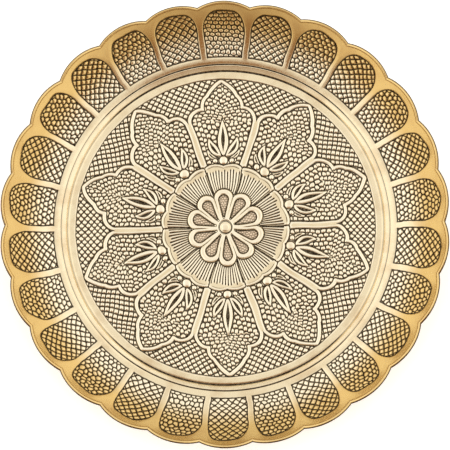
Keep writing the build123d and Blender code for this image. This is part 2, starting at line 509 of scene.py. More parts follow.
@dataclass
class FloorPetals:
    """Ten long petals with cusped ends, each with a spray of leaves on a bead, over crossed lines."""

    petals: int = 10
    twist: float = 1.35
    inner: float = 43.6
    edge: float = 103.2
    fork: float = 75.8
    rim_from: float = 80.0
    rim_line_depth: float = 0.4
    band: float = 2.2
    band_height: float = 0.42
    line: float = 0.62
    line_depth: float = 0.5
    bead_place: float = 46.6
    bead_radius: float = 3.0
    ground: float = -0.5
    spray_margin: float = 0.55
    stride: float = 53.0
    lattice: Lattice = Lattice(wide=4.6, tall=4.4, groove=1.35, depth=0.5, pit=0.05)
    scales: Pebbles = Pebbles(wide=3.6, tall=3.0, gap=1.1, depth=0.5, unevenness=0.2, lean=0.45, seed=8)

    def local(self, theta: np.ndarray) -> np.ndarray:
        """Angle from the axis of the nearest petal, in radians."""
        pitch = TAU / self.petals
        return ((theta - math.radians(self.twist)) % pitch) - pitch / 2

    def root(self) -> tuple[float, float]:
        """Where the band leaves the disc, half its width from the line between two petals."""
        aside = math.degrees(math.asin(self.band / 2 / self.inner))
        return polar(self.inner - 1.0, 180.0 / self.petals - aside)

    def outline(self) -> list[tuple[float, float]]:
        """The middle of the band round half a petal: a straight flank, then three arcs that meet at corners.

        Returns:
            Its points from the root to the petal's tip, as (across, along).
        """
        shoulder, cusp = polar(76.0, 17.15), polar(83.6, 9.4)
        notch, apex = polar(91.7, 6.3), polar(101.6, 0.0)
        line = [self.root()]
        line += arc_points(shoulder, polar(82.0, 14.3), cusp, 12)
        line += arc_points(cusp, polar(87.8, 8.7), notch, 8)[1:]
        line += arc_points(notch, polar(96.4, 4.0), apex, 9)[1:]
        return line

    def guide(self) -> list[tuple[float, float]]:
        """The outline without its cusps, which the strings of scales follow."""
        return [self.root()] + arc_points(polar(76.0, 17.15), polar(89.5, 10.6), polar(102.5, 0.0), 16)

    def leaf(self, u: np.ndarray, v: np.ndarray, axis: list[tuple[float, float]],
             half_width: float) -> tuple[np.ndarray, np.ndarray]:
        """One leaf with a bent axis and a cut vein.

        Args:
            u: across the petal, in mm.
            v: along the petal, in mm.
            axis: the points of the leaf's axis, from stalk to tip.
            half_width: half its width where it is widest.

        Returns:
            Its height, and the signed distance in from its edge; less than 0 is outside.
        """
        off, at = near_line(u, v, axis)
        half = half_width * np.sin(math.pi * np.clip(at, 0.0, 1.0) ** 0.8) ** 0.75
        edge = half - off
        body = smooth(-0.1, 0.9, edge)
        vein_half = 0.32 * half_width * np.sin(math.pi * np.clip((at - 0.14) / 0.66, 0.0, 1.0))
        vein = smooth(-0.35, 0.35, vein_half - off) * (vein_half > 0.0)
        return -0.5 + 0.95 * body - 0.85 * vein * body, edge

    def spray(self, u: np.ndarray, v: np.ndarray) -> tuple[np.ndarray, np.ndarray]:
        """The leaves over one bead.

        Args:
            u: across the petal, in mm from its axis.
            v: along the petal, in mm from the tray's axis.

        Returns:
            The height of the leaves, and how far in from an edge of the spray each point is.
        """
        side = np.abs(u)
        axes = [
            (arc_points((4.4, 47.4), (8.0, 49.2), (10.9, 54.4), 6), 1.7),
            (arc_points((1.6, 49.6), (6.0, 53.8), (9.6, 62.6), 8), 3.1),
            ([(0.0, 49.6), (0.0, 74.6)], 3.7),
        ]
        height = np.full(u.shape, self.ground)
        inside = np.full(u.shape, -9.0)
        for axis, half_width in axes:
            shape, edge = self.leaf(side, v, axis, half_width)
            over = edge > np.where(inside > 0.6, -0.2, -self.spray_margin)
            height = np.where(over, shape, height)
            inside = np.maximum(inside, edge)
        return height, inside

    def knobs(self, u: np.ndarray, v: np.ndarray, filled: np.ndarray) -> np.ndarray:
        """Sets the bead and two small knobs at the foot of a petal into what is already there.

        Args:
            u: across the petal, in mm from its axis.
            v: along the petal, in mm from the tray's axis.
            filled: the height of the filling so far.

        Returns:
            The height with the bead and the knobs in it.
        """
        spots = ((0.0, self.bead_place, self.bead_radius, 0.75), (5.9, 46.2, 1.6, 0.6))
        for across, along, radius, rise in spots:
            off = np.hypot(np.abs(u) - across, v - along)
            dome = np.clip(1.0 - (off / radius) ** 2, 0.0, 1.0)
            knob = np.where(off < radius, self.ground / 2 + rise * dome ** 0.6, self.ground)
            filled = np.where(off < radius + 0.6, knob, filled)
        return filled

    def mark(self, radius: np.ndarray, theta: np.ndarray) -> Mark:
        """The relief of the floor outside the fluted disc.

        Args:
            radius: distance from the tray's axis, in mm.
            theta: angle from +X, in radians.

        Returns:
            The petals with their bands, scales and sprays, and the ribs and crossed lines between them.
        """
        local = self.local(theta)
        u = radius * np.sin(local)
        v = radius * np.cos(local)
        outline, guide = self.outline(), self.guide()
        gap, _ = near_line(np.abs(u), v, outline)
        deep, run = near_line(np.abs(u), v, guide)
        reach = [math.hypot(x, y) for x, y in outline]
        angles = [math.atan2(x, y) for x, y in outline]
        within = np.abs(local) < np.interp(radius, reach, angles, right=0.0)
        total = sum(math.dist(a, b) for a, b in zip(guide, guide[1:]))
        pitch = TAU / self.petals
        index = np.floor((theta - math.radians(self.twist)) / pitch).astype(int)
        strand = run * total + self.stride * (2 * index + (u > 0))
        row = deep - self.band / 2 - self.line + 0.25 * np.sin(strand * 0.5)
        scales = self.scales.height(strand, row)
        between = np.where(local > 0, local - pitch / 2, local + pitch / 2)
        crossed = self.lattice.height(radius * np.sin(between), radius * np.cos(between))
        leaves, in_spray = self.spray(u, v)
        filled = np.where(in_spray > -self.spray_margin, leaves, scales)
        filled = self.knobs(u, v, filled)
        top = smooth(self.band / 2 + 0.2, self.band / 2 - 0.35, gap)
        line = hump(gap - self.band / 2 - self.line * 0.75, self.line)
        clear = smooth(self.band / 2 + self.line, self.band / 2 + self.line + 0.6, gap)
        rib = ~within & (radius <= self.fork)
        height = self.band_height * top + clear * np.where(within, filled, crossed)
        height = height - self.line_depth * line
        seam = radius * np.sin(pitch / 2 - np.abs(local))
        rib_top = self.band_height - 0.03 * hump(seam, 0.5)
        height = np.where(rib, rib_top, height)
        fade = smooth(0.5, 1.1, self.edge - radius)
        rim_line = hump(self.edge - 0.4 - radius, 0.6)
        height = np.where(radius > self.rim_from, height * fade - self.rim_line_depth * rim_line, height)
        return Mark(height, np.zeros(radius.shape))


@dataclass
class FlutedDisc:
    """The raised disc in the middle of the floor: a waved edge, a plain border and fine flutes."""

    petals: FloorPetals
    radius: float = 44.4
    dip: float = 1.6
    flutes: int = 120
    flute_depth: float = 0.56
    border: float = 40.4
    lift: float = 0.42
    lip_drop: float = 0.5
    slot_from: float = 23.0
    slot_width: float = 1.6
    slot_depth: float = 0.6
    seed: int = 5

    def edge(self, local: np.ndarray) -> np.ndarray:
        """Radius of the disc's waved edge, with two waves to a petal."""
        return self.radius - self.dip * (1.0 - np.abs(np.sin(self.petals.petals * local)) ** 0.6)

    def mark(self, radius: np.ndarray, theta: np.ndarray) -> Mark:
        """The relief of the disc.

        Args:
            radius: distance from the tray's axis, in mm.
            theta: angle from +X, in radians.

        Returns:
            The lip, the border and the flutes, of uneven length and depth, with a slot opposite each rib.
        """
        local = self.petals.local(theta)
        inset = self.edge(local) - radius
        lip = smooth(0.0, 0.8, inset)
        turn = theta * self.flutes / TAU
        phase = np.abs((turn % 1.0) - 0.5) * 2.0
        rng = np.random.default_rng(self.seed)
        ends = self.border + rng.uniform(-1.6, 0.4, self.flutes)
        force = rng.uniform(0.75, 1.1, self.flutes)
        which = np.floor(turn + 0.5).astype(int) % self.flutes
        reach = smooth(0.0, 1.6, ends[which] - radius)
        cut = smooth(0.34, 0.8, phase) * force[which]
        height = lip * self.lift - self.lip_drop * (1.0 - lip) - self.flute_depth * cut * reach
        spoke = (math.pi / self.petals.petals - np.abs(local)) * radius
        slot = hump(spoke, self.slot_width / 2) * smooth(self.slot_from, self.slot_from + 2.0, radius)
        height = height - self.slot_depth * slot
        lip_line = 0.1 * hump(inset - 2.4, 0.5) - 0.12 * hump(inset - 1.2, 0.8)
        return Mark(height - lip_line, np.zeros(radius.shape))


@dataclass
class Rosette:
    """Ten teardrop hollows with rounded walls round a small boss."""

    petals: int = 10
    twist: float = 21.6
    wide_at: float = 19.2
    hollow: float = 3.6
    point_at: float = 6.6
    point: float = 0.3
    lobe_at: float = 19.9
    lobe: float = 7.1
    lift: float = 0.95
    crease: float = 0.3
    floor_drop: float = 0.12
    boss: float = 4.6
    boss_round: float = 4.1
    boss_ring: float = 2.9
    boss_line_depth: float = 0.5
    stipple: Pebbles = Pebbles(wide=1.8, tall=1.6, gap=0.8, depth=0.22, lean=0.0, seed=21)

    def teardrop(self, u: np.ndarray, v: np.ndarray) -> np.ndarray:
        """Where points are beside a teardrop hollow, whose point is towards the axis.

        Args:
            u: across the teardrop, in mm.
            v: along it, in mm from the tray's axis.

        Returns:
            The distance out from its edge, in mm; less than 0 is inside it.
        """
        length = self.wide_at - self.point_at
        fall = (self.hollow - self.point) / length
        run = math.sqrt(1.0 - fall * fall)
        across, along = np.abs(u), self.wide_at - v
        key = -fall * across + run * along
        to_round = np.hypot(across, along) - self.hollow
        to_point = np.hypot(across, along - length) - self.point
        to_side = across * run + along * fall - self.hollow
        return np.where(key < 0.0, to_round, np.where(key > run * length, to_point, to_side))

    def mark(self, radius: np.ndarray, theta: np.ndarray) -> tuple[Mark, np.ndarray]:
        """The relief of the rosette.

        Args:
            radius: distance from the tray's axis, in mm.
            theta: angle from +X, in radians.

        Returns:
            The teardrops and the boss, and how far inside the rosette's outline each point is.
        """
        pitch = TAU / self.petals
        local = ((theta - math.radians(self.twist) + pitch / 2) % pitch) - pitch / 2
        u = radius * np.sin(local)
        v = radius * np.cos(local)
        outline = self.lobe - np.hypot(u, v - self.lobe_at)
        outline = np.where(v < self.lobe_at, self.lobe_at + 4.0 - v, outline)
        seam = radius * np.sin(pitch / 2 - np.abs(local))
        out = self.teardrop(u, v)
        shoulder = smooth(0.0, 1.1, outline) * smooth(-0.1, 0.75, out)
        crease = hump(seam, 0.42) * smooth(10.0, 17.0, radius)
        height = self.lift * shoulder - self.crease * crease * shoulder
        stipple = self.stipple.height(u, v)
        floor = -self.floor_drop + stipple * smooth(0.6, 1.0, -out) - 0.3 * hump(out + 0.3, 0.55)
        height = np.where(out < 0.0, floor + height, height)
        grains = 0.35 + 0.65 * smooth(-0.17, -0.06, stipple)
        copper = smooth(0.3, 1.0, -out) * (radius > self.boss) * grains
        dome = self.lift * np.clip(1.0 - (radius / self.boss_round) ** 2, 0.0, 1.0) ** 0.5
        ring = 0.12 * hump(radius - self.boss_ring, 0.5)
        height = np.where(radius < self.boss + 0.1, 0.1 + dome - ring, height)
        height = height - self.boss_line_depth * hump(radius - self.boss - 0.1, 0.6)
        return Mark(height, copper), outline


@dataclass
class Relief:
    """All the pressed and chased work of the upper face."""

    panels: FlangePanels
    petals: FloorPetals
    disc: FlutedDisc
    rosette: Rosette
    amount: float = 0.42
    deepest: float = 0.52
    shrink: float = 0.007
    petals_from: float = 41.0
    inner_fold: float = 107.6
    inner_fold_depth: float = 0.22
    outer_fold: float = 111.9
    outer_fold_depth: float = 0.46
    floor_edge: float = 107.9
    crown: float = 0.25
    crown_fall: float = 0.42
    sway: Wander = Wander(length=26.0, seed=41)
    stretch: Wander = Wander(length=23.0, seed=42)
    force: Wander = Wander(length=21.0, seed=43)

    def mark(self, radius: np.ndarray, theta: np.ndarray) -> Mark:
        """The relief at polar points anywhere on the upper face.

        Args:
            radius: distance from the axis, in mm.
            theta: angle from +X, in radians.

        Returns:
            The height along the sheet's normal, in mm, and the copper tone, from 0 to 1.
        """
        x, y = radius * np.cos(theta), radius * np.sin(theta)
        wrought = smooth(103.5, 100.0, radius) + smooth(118.5, 122.0, radius)
        theta = (theta + self.amount * self.sway.at(x, y) * wrought / np.maximum(radius, 8.0)) % TAU
        radius = radius + self.amount * self.stretch.at(x, y) * wrought * smooth(8.0, 30.0, radius)
        radius = radius * (1.0 + self.shrink * smooth(106.5, 104.5, radius))
        height = np.zeros(radius.shape)
        copper = np.zeros(radius.shape)
        zones: list[tuple[np.ndarray, Callable[[np.ndarray, np.ndarray], Mark]]] = [
            (radius >= self.panels.inner - 1.0, self.panels.mark),
            ((radius < self.petals.edge + 0.1) & (radius >= self.petals_from), self.petals.mark),
        ]
        for zone, work in zones:
            height[zone] = work(radius[zone], theta[zone]).height
        near = radius < self.disc.radius + 0.6
        edge = self.disc.edge(self.petals.local(theta))
        disc = self.disc.mark(radius[near], theta[near])
        blend = smooth(-0.5, 0.1, edge[near] - radius[near])
        height[near] = height[near] * (1.0 - blend) + disc.height * blend
        middle = radius < self.rosette.lobe_at + self.rosette.lobe + 0.8
        rose, inside = self.rosette.mark(radius[middle], theta[middle])
        cover = smooth(-0.15, 0.35, inside)
        groove = hump(inside + 0.1, 0.6) * 0.25
        height[middle] = height[middle] * (1.0 - cover) + (rose.height + 0.25) * cover - groove * (1 - cover)
        copper[middle] = rose.copper
        height = height * (0.95 + 0.12 * np.clip(self.force.at(x, y), -1.6, 1.0))
        height = np.maximum(height, -self.deepest)
        line = self.inner_fold_depth * hump(radius - self.inner_fold, 0.9)
        line += self.outer_fold_depth * hump(radius - self.outer_fold, 0.8)
        fall = np.clip((radius - self.petals.edge) / (self.floor_edge - self.petals.edge), 0.0, 1.0) ** 2
        crown = (self.crown - self.crown_fall * fall) * smooth(109.0, self.floor_edge, radius)
        return Mark(height - line + crown, copper)


# ---------------------------------------------------------------- the mesh


@dataclass
class RingMesh:
    """A closed surface built from rings round the axis, which may differ in how many points they hold."""

    points: list[np.ndarray] = field(default_factory=list)
    values: list[dict[str, np.ndarray]] = field(default_factory=list)
    sizes: list[int] = field(default_factory=list)

    def add(self, radius: np.ndarray, theta: np.ndarray, height: np.ndarray,
            values: dict[str, np.ndarray]) -> None:
        """Adds the next ring, or one point where the arrays hold a single value.

        Args:
            radius: distance of its points from the axis, in mm.
            theta: their angles from +X, in radians.
            height: their heights, in mm.
            values: what the finish reads at each of them, by name.
        """
        self.points.append(np.stack([radius * np.cos(theta), radius * np.sin(theta), height], axis=1))
        self.values.append(values)
        self.sizes.append(len(radius))

    @staticmethod
    def band(first: int, size: int, second: int, next_size: int) -> tuple[np.ndarray, np.ndarray]:
        """The faces between two rings.

        Args:
            first: index of the first ring's first vertex.
            size: number of vertices in it.
            second: index of the second ring's first vertex.
            next_size: number of vertices in that one.

        Returns:
            An array of quads and an array of triangles; one of them may be empty.
        """
        no_quads, no_triangles = np.zeros((0, 4), int), np.zeros((0, 3), int)
        if size == next_size:
            i = np.arange(size)
            j = (i + 1) % size
            return np.stack([first + i, second + i, second + j, first + j], axis=1), no_triangles
        if size == 1:
            i = np.arange(next_size)
            fan = np.stack([np.full(next_size, first), second + i, second + (i + 1) % next_size], axis=1)
            return no_quads, fan
        if next_size == 1:
            i = np.arange(size)
            fan = np.stack([first + i, np.full(size, second), first + (i + 1) % size], axis=1)
            return no_quads, fan
        keys = np.concatenate([(np.arange(size) + 0.5) / size, (np.arange(next_size) + 0.5) / next_size])
        on_first = np.concatenate([np.ones(size, bool), np.zeros(next_size, bool)])
        on_first = on_first[np.argsort(keys, kind="stable")]
        i = np.cumsum(on_first) - on_first
        j = np.cumsum(~on_first) - (~on_first)
        a, b = first + i % size, second + j % next_size
        third = np.where(on_first, first + (i + 1) % size, second + (j + 1) % next_size)
        return no_quads, np.stack([a, b, third], axis=1)

    def build(self, name: str) -> bpy.types.Object:
        """Makes the mesh object, in metres, with one float attribute for each named value.

        Args:
            name: the name of the object and its mesh.

        Returns:
            The object, linked to the scene.
        """
        starts = np.concatenate([[0], np.cumsum(self.sizes)[:-1]])
        quads, triangles = [], []
        for k in range(len(self.sizes) - 1):
            four, three = self.band(starts[k], self.sizes[k], starts[k + 1], self.sizes[k + 1])
            quads.append(four)
            triangles.append(three)
        quad, triangle = np.concatenate(quads), np.concatenate(triangles)
        corners = np.concatenate([quad.ravel(), triangle.ravel()]).astype(np.int32)
        faces = len(quad) + len(triangle)
        begin = np.concatenate([np.arange(len(quad)) * 4, len(quad) * 4 + np.arange(len(triangle)) * 3])
        points = np.concatenate(self.points) * MM
        mesh = bpy.data.meshes.new(name)
        mesh.vertices.add(len(points))
        mesh.vertices.foreach_set("co", points.astype(np.float32).ravel())
        mesh.loops.add(len(corners))
        mesh.loops.foreach_set("vertex_index", corners)
        mesh.polygons.add(faces)
        mesh.polygons.foreach_set("loop_start", begin.astype(np.int32))
        mesh.polygons.foreach_set("use_smooth", np.ones(faces, bool))
        mesh.update(calc_edges=True)
        for key in self.values[0]:
            attribute = mesh.attributes.new(key, "FLOAT", "POINT")
            column = np.concatenate([ring[key] for ring in self.values])
            attribute.data.foreach_set("value", column.astype(np.float32))
        mesh.validate()
        piece = bpy.data.objects.new(name, mesh)
        bpy.context.scene.collection.objects.link(piece)
        return piece


@dataclass
class Raster:
    """The relief read on a square grid and blurred, for hollows and for the reverse of the sheet."""

    relief: Relief
    half: float = 156.0
    cell: float = 0.45
    reach: float = 150.5
    sharp: np.ndarray = field(init=False)

    def __post_init__(self) -> None:
        """Reads the relief over the whole tray."""
        count = int(2 * self.half / self.cell)
        line = (np.arange(count) + 0.5) * self.cell - self.half
        x, y = np.meshgrid(line, line)
        radius = np.hypot(x, y)
        self.sharp = self.relief.mark(radius.ravel(), np.arctan2(y, x).ravel()).height.reshape(x.shape)
        self.sharp[radius > self.reach] = 0.0

    def blurred(self, spread: float) -> np.ndarray:
        """The relief after a round blur.

        Args:
            spread: the blur's standard deviation, in mm.

        Returns:
            The blurred grid.
        """
        count = self.sharp.shape[0]
        turns = np.fft.fftfreq(count, self.cell)
        fall = np.exp(-2.0 * (math.pi * spread * turns) ** 2)
        wide = np.fft.fft2(self.sharp) * fall[:, None] * fall[None, :]
        return np.real(np.fft.ifft2(wide))

    def read(self, image: np.ndarray, radius: np.ndarray, theta: np.ndarray) -> np.ndarray:
        """Values of a grid at polar points, weighted from the four nearest cells.

        Args:
            image: the grid.
            radius: distance from the axis, in mm.
            theta: angle from +X, in radians.

        Returns:
            The value at each point.
        """
        count = image.shape[0]
        x = (radius * np.cos(theta) + self.half) / self.cell - 0.5
        y = (radius * np.sin(theta) + self.half) / self.cell - 0.5
        i = np.clip(np.floor(x).astype(int), 0, count - 2)
        j = np.clip(np.floor(y).astype(int), 0, count - 2)
        s, t = np.clip(x - i, 0, 1), np.clip(y - j, 0, 1)
        low = image[j, i] * (1 - s) + image[j, i + 1] * s
        high = image[j + 1, i] * (1 - s) + image[j + 1, i + 1] * s
        return low * (1 - t) + high * t


@dataclass
class PressedTray:
    """The whole sheet as one closed surface: upper face, bead along the scalloped edge, and underside."""

    section: Section
    rim: ScallopedRim
    relief: Relief
    body: str = "root"
    cad_node: str = "tray_body"
    turn_from: float = 138.0
    flange_rows: int = 28
    bead_rows: int = 24
    under_rows: int = 14
    bead_clearance: float = 0.006
    near_spread: float = 0.95
    wide_spread: float = 2.6
    reverse_spread: float = 0.75
    # the top of the bead is made brighter, partly its wear and partly a painted highlight; its outer side
    # gets painted shade
    bead_top_wear_and_highlight: float = 0.22
    bead_side_shade: float = 0.16
    # how much of the darkening of the fold lines at the step is taken out at the sides, and how much less in
    # front and behind, where what stays is partly the patina of the creases and partly painted shade
    fold_line_fade: float = 0.87
    painted_shade_front_back: float = 0.72
    # inner radius, outer radius, spacing of rings, points in a ring
    upper_zones: tuple[tuple[float, float, float, int], ...] = (
        (0.35, 3.0, 0.35, 120), (3.0, 9.0, 0.3, 240), (9.0, 20.0, 0.36, 480), (20.0, 44.8, 0.36, 960),
        (44.8, 75.0, 0.38, 1200), (75.0, 103.6, 0.38, 1600), (103.6, 107.0, 0.85, 1040),
        (107.0, 112.4, 0.27, 1040), (112.4, 117.0, 0.77, 1040), (117.0, 138.0, 0.42, 2080),
    )
    under_zones: tuple[tuple[float, float, float, int], ...] = (
        (0.8, 12.0, 0.8, 120), (12.0, 40.0, 0.8, 480), (40.0, 107.0, 0.8, 1040),
        (107.0, 112.4, 0.4, 1040), (112.4, 138.0, 0.8, 1040),
    )

    def rings(self, zones: tuple[tuple[float, float, float, int], ...]) -> list[tuple[float, int]]:
        """The rings of some zones, outwards.

        Args:
            zones: inner radius, outer radius, spacing of rings and points in a ring, of each zone.

        Returns:
            The radius and the number of points of each ring.
        """
        found = []
        for inner, outer, spacing, count in zones:
            steps = max(1, round((outer - inner) / spacing))
            found += [(inner + (outer - inner) * i / steps, count) for i in range(steps)]
        return found

    def bead_section(self, theta: np.ndarray, degrees: np.ndarray) -> tuple[np.ndarray, np.ndarray]:
        """Points on the bead.

        Args:
            theta: angles round the tray, in radians.
            degrees: angles round the bead's own section, from straight outwards.

        Returns:
            Their radius and height, in mm.
        """
        radius, level, stretch = self.rim.bead(theta)
        curl = self.section.curl_radius - self.bead_clearance
        turn = np.radians(degrees)
        return radius + curl * stretch * np.cos(turn), level + curl * np.sin(turn)

    def build(self) -> bpy.types.Object:
        """Makes the sheet and puts it in the place of the plain one.

        Returns:
            The finished piece, without a finish.
        """
        raster = Raster(self.relief)
        near_blur = raster.blurred(self.near_spread)
        wide_blur = raster.blurred(self.wide_spread)
        reverse = raster.blurred(self.reverse_spread)
        mesh = RingMesh()
        curl, sheet = self.section.curl_radius, self.section.sheet
        top_gap = curl - self.section.bead_stand
        low_gap = top_gap - sheet

        def upper(radius: np.ndarray, theta: np.ndarray) -> None:
            """Adds one ring of the upper face.

            Args:
                radius: distance of its points from the axis, in mm.
                theta: their angles from +X, in radians.
            """
            level, slope = self.section.surface(radius, sheet)
            mark = self.relief.mark(radius, theta)
            height = mark.height
            cavity_and_painted_light = height - raster.read(near_blur, radius, theta)
            broad = height - raster.read(wide_blur, radius, theta)
            # the fold lines at the step lose most of their dark at the sides and keep it in front and behind:
            # patina in the creases, with painted shade towards ±Y
            fold_line_fade = self.fold_line_fade - self.painted_shade_front_back * smooth(0.62, 0.97, np.abs(np.sin(theta)))
            patina_and_shade_kept = 1.0 - fold_line_fade * smooth(104.0, 105.5, radius) * smooth(116.0, 114.5, radius)
            cavity_and_painted_light, broad = cavity_and_painted_light * patina_and_shade_kept, broad * patina_and_shade_kept
            values = {"cavity_and_painted_light": cavity_and_painted_light, "broad": broad, "copper": mark.copper}
            mesh.add(radius - height * np.sin(slope), theta, level + height * np.cos(slope), values)

        def lower(radius: np.ndarray, theta: np.ndarray) -> None:
            """Adds one ring of the underside, where the relief shows softly from behind.

            Args:
                radius: distance of its points from the axis, in mm.
                theta: their angles from +X, in radians.
            """
            level, slope = self.section.surface(radius, 0.0)
            height = raster.read(reverse, radius, theta)
            height = np.where(radius < 107.0, np.clip(height, 0.0, None), height * 0.8)
            values = {"cavity_and_painted_light": height * 0.12, "broad": height * 0.12, "copper": height * 0.0}
            mesh.add(radius - height * np.sin(slope), theta,
                     np.maximum(level + height * np.cos(slope), 0.0), values)

        centre = self.relief.mark(np.array([0.0]), np.array([0.0])).height
        calm = {"cavity_and_painted_light": np.zeros(1), "broad": np.zeros(1), "copper": np.zeros(1)}
        mesh.add(np.zeros(1), np.zeros(1), centre + sheet, calm)
        for ring_radius, count in self.rings(self.upper_zones):
            theta = np.arange(count) * TAU / count
            upper(np.full(count, ring_radius), theta)
        count = self.upper_zones[-1][3]
        theta = np.arange(count) * TAU / count
        centre_r, _, _ = self.rim.bead(theta)
        _, slope = self.section.surface(centre_r, sheet)
        begin = 90.0 + np.degrees(slope) + math.degrees(math.acos(top_gap / curl))
        end = 90.0 + np.degrees(slope) + math.degrees(math.acos(low_gap / curl)) - 360.0
        meet_r, _ = self.bead_section(theta, begin)
        for i in range(self.flange_rows):
            upper(self.turn_from + (meet_r - self.turn_from) * (i / self.flange_rows), theta)
        flat = np.zeros(count)
        for i in range(self.bead_rows + 1):
            turn = begin + (end - begin) * i / self.bead_rows
            radius, height = self.bead_section(theta, turn)
            # painted shade on the outer side of the bead, and a brighter top that is partly wear and partly
            # painted highlight
            bead_shade = self.bead_side_shade * smooth(82.0, 56.0, turn) * smooth(-75.0, -50.0, turn)
            wear_and_highlight = self.bead_top_wear_and_highlight * smooth(150.0, 125.0, turn) * smooth(62.0, 84.0, turn)
            mesh.add(radius, theta, height, {"cavity_and_painted_light": wear_and_highlight - bead_shade, "broad": flat, "copper": flat})
        leave_r, _ = self.bead_section(theta, end)
        under_count = self.under_zones[-1][3]
        sparse = np.arange(under_count) * TAU / under_count
        start_r = np.interp(sparse, np.append(theta, TAU), np.append(leave_r, leave_r[0]))
        for i in range(1, self.under_rows + 1):
            lower(start_r + (self.turn_from - start_r) * (i / self.under_rows), sparse)
        for ring_radius, count in reversed(self.rings(self.under_zones)):
            theta = np.arange(count) * TAU / count
            lower(np.full(count, ring_radius), theta)
        mesh.add(np.zeros(1), np.zeros(1), np.clip(centre, 0.0, 0.5), calm)
        piece = mesh.build("pressed_tray")
        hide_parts(self.cad_node)
        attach(piece, self.body)
        return piece

    def dress(self, piece: bpy.types.Object) -> None:
        """Gives the sheet its finish."""
        piece.data.materials.append(AntiquedBrass().material())


@dataclass
class RimWire:
    """The round wire that the edge is curled over, in the plain model's own shape."""

    cad_node: str = "rim_wire"

    def dress(self) -> bpy.types.Object:
        """Gives the wire its finish.

        Returns:
            The wire.
        """
        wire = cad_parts[self.cad_node]
        wire.data.materials.clear()
        wire.data.materials.append(DrawnWire().material())
        return wire


# ---------------------------------------------------------------- finishes


def linear(colour: str) -> tuple[float, float, float, float]:
    """Turns a colour to linear light.

    Args:
        colour: an sRGB colour, as six hex digits.

    Returns:
        Red, green, blue and an alpha of 1.
    """
    parts = [int(colour[i:i + 2], 16) / 255.0 for i in (0, 2, 4)]
    light = [p / 12.92 if p <= 0.04045 else ((p + 0.055) / 1.055) ** 2.4 for p in parts]
    return (light[0], light[1], light[2], 1.0)


def node(tree: bpy.types.NodeTree, kind: str, settings: dict | None = None,
         links: dict | None = None) -> bpy.types.Node:
    """Adds a node with its settings and links.

    Args:
        tree: the node tree that it joins.
        kind: Blender's name for the node.
        settings: attribute names or input sockets, by name or number, and their values.
        links: input sockets, by name or number, and the output sockets that feed them.

    Returns:
        The new node.
    """
    made = tree.nodes.new(kind)
    for key, value in (settings or {}).items():
        if isinstance(key, str) and hasattr(made, key):
            setattr(made, key, value)
        else:
            made.inputs[key].default_value = value
    for key, source in (links or {}).items():
        tree.links.new(source, made.inputs[key])
    return made


def new_material(name: str) -> tuple[bpy.types.Material, bpy.types.NodeTree]:
    """Makes an empty node material.

    Args:
        name: its name.

    Returns:
        The material and its node tree.
    """
    material = bpy.data.materials.new(name)
    material.use_nodes = True
    material.node_tree.nodes.clear()
    return material, material.node_tree


